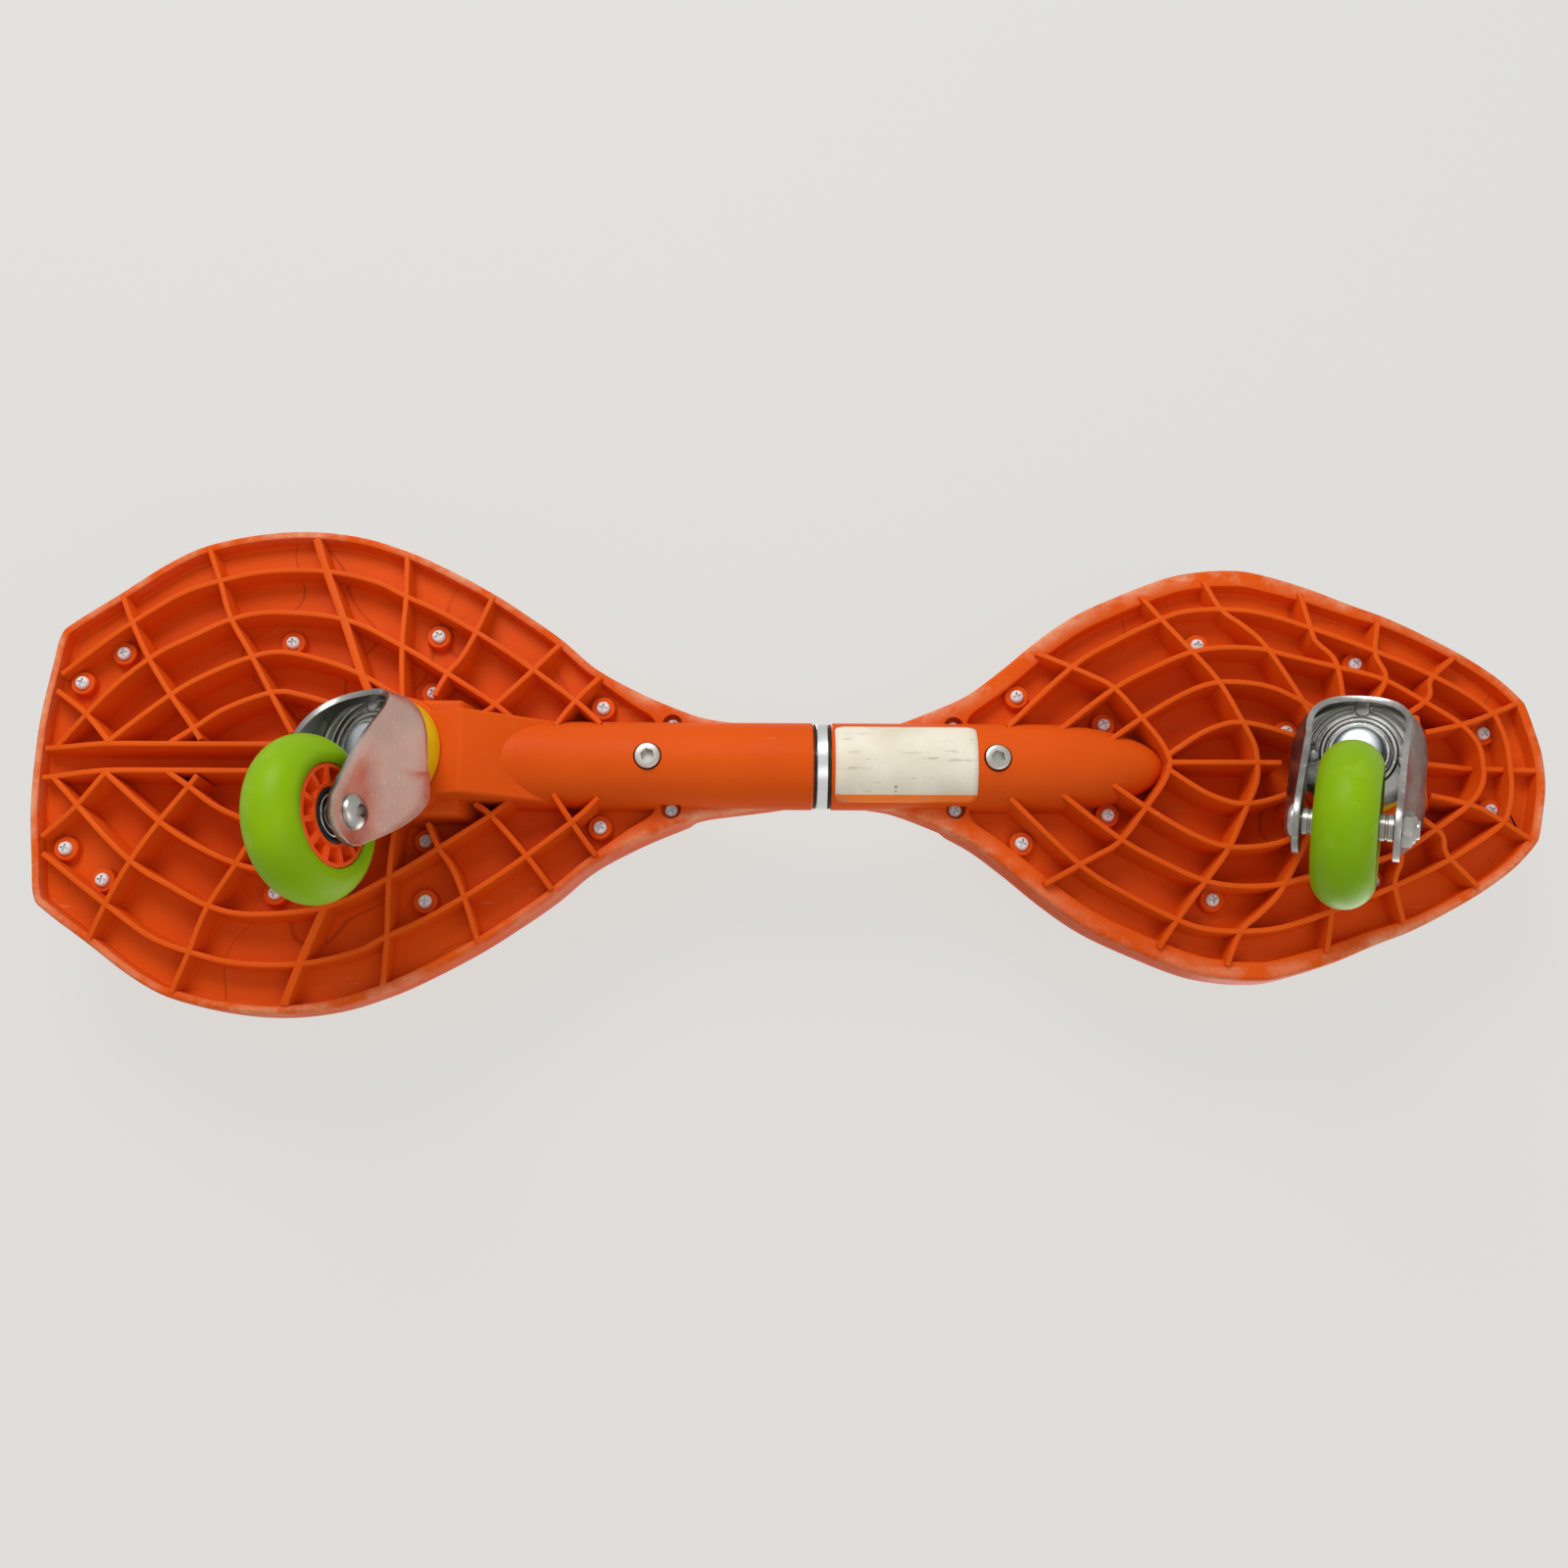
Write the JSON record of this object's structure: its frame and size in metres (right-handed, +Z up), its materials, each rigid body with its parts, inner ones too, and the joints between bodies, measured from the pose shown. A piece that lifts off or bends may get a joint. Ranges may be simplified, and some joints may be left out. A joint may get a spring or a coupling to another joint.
{
  "type": "caster board",
  "caption": "Caster board whose ribbed front and rear decks twist about a torsion tube and ride on inclined swivel casters.",
  "frame": {"origin": "on the ground, under the middle of the board's length and width", "axes": "+X towards the nose of the front deck, +Y to the rider's left, +Z up, with the riding faces on top"},
  "size_m": [0.679, 0.2216, 0.1216],
  "materials": {
    "deck_plastic": "moulded, satin",
    "deck_top_plastic": "moulded, with grip texture",
    "tyre_lime": "cast polyurethane, satin",
    "hub_plastic": "moulded",
    "fork_steel": "pressed sheet, scuffed plating",
    "zinc_steel": "bright zinc plated",
    "bearing_steel": "ground",
    "alloy": "satin",
    "ring_plastic": "moulded",
    "black_rubber": "matt",
    "bush_plastic": "moulded"
  },
  "bodies": {
    "rear_deck": {"rear_deck_frame": "deck_plastic", "rear_deck_top": "deck_top_plastic", "rear_clamp_bolt": "zinc_steel", "torsion_tube": "alloy", "rear_joint_gasket": "black_rubber", "rear_screw_01": "zinc_steel", "rear_screw_02": "zinc_steel", "rear_screw_03": "zinc_steel", "rear_screw_04": "zinc_steel", "rear_screw_05": "zinc_steel", "rear_screw_06": "zinc_steel", "rear_screw_07": "zinc_steel", "rear_screw_08": "zinc_steel", "rear_screw_09": "zinc_steel", "rear_screw_10": "zinc_steel", "rear_screw_11": "zinc_steel", "rear_screw_12": "zinc_steel", "rear_kingpin": "zinc_steel", "rear_kingpin_nut": "zinc_steel", "rear_dust_ring": "ring_plastic"},
    "front_deck": {"front_deck_frame": "deck_plastic", "front_deck_top": "deck_top_plastic", "front_clamp_bolt": "zinc_steel", "front_joint_gasket": "black_rubber", "torsion_bar": "bearing_steel", "joint_bush": "bush_plastic", "end_bush": "bush_plastic", "front_screw_01": "zinc_steel", "front_screw_02": "zinc_steel", "front_screw_03": "zinc_steel", "front_screw_04": "zinc_steel", "front_screw_05": "zinc_steel", "front_screw_06": "zinc_steel", "front_screw_07": "zinc_steel", "front_screw_08": "zinc_steel", "front_screw_09": "zinc_steel", "front_screw_10": "zinc_steel", "front_kingpin": "zinc_steel", "front_kingpin_nut": "zinc_steel", "front_dust_ring": "ring_plastic"},
    "rear_caster": {"rear_fork": "fork_steel", "rear_swivel_race": "zinc_steel", "rear_axle_bolt": "zinc_steel", "rear_axle_nut": "zinc_steel", "rear_axle_spacer_inner": "alloy", "rear_axle_spacer_outer": "alloy"},
    "front_caster": {"front_fork": "fork_steel", "front_swivel_race": "zinc_steel", "front_axle_bolt": "zinc_steel", "front_axle_nut": "zinc_steel", "front_axle_spacer_inner": "alloy", "front_axle_spacer_outer": "alloy"},
    "rear_wheel": {"rear_tyre": "tyre_lime", "rear_wheel_hub": "hub_plastic", "rear_wheel_bearing_inner": "bearing_steel", "rear_wheel_bearing_outer": "bearing_steel"},
    "front_wheel": {"front_tyre": "tyre_lime", "front_wheel_hub": "hub_plastic", "front_wheel_bearing_inner": "bearing_steel", "front_wheel_bearing_outer": "bearing_steel"}
  },
  "joints": [
    {"name": "deck_twist", "type": "hinge", "parent": "rear_deck", "child": "front_deck", "pos_m": [0.0115, 0, 0.10228], "axis": [1, 0, 0], "range_deg": [-35, 35], "stiffness_Nm_per_rad": 15},
    {"name": "rear_swivel", "type": "hinge", "parent": "rear_deck", "child": "rear_caster", "pos_m": [-0.181, 0, 0.07428], "axis": [0.3746, 0, 0.9272], "continuous": true},
    {"name": "front_swivel", "type": "hinge", "parent": "front_deck", "child": "front_caster", "pos_m": [0.2435, 0, 0.07428], "axis": [0.3746, 0, 0.9272], "continuous": true},
    {"name": "rear_spin", "type": "hinge", "parent": "rear_caster", "child": "rear_wheel", "pos_m": [-0.19477, 0.03891, 0.03293], "axis": [0.9249, -0.0698, -0.3737], "continuous": true},
    {"name": "front_spin", "type": "hinge", "parent": "front_caster", "child": "front_wheel", "pos_m": [0.22155, 0.03852, 0.03623], "axis": [0.9158, 0.1564, -0.37], "continuous": true}
  ]
}
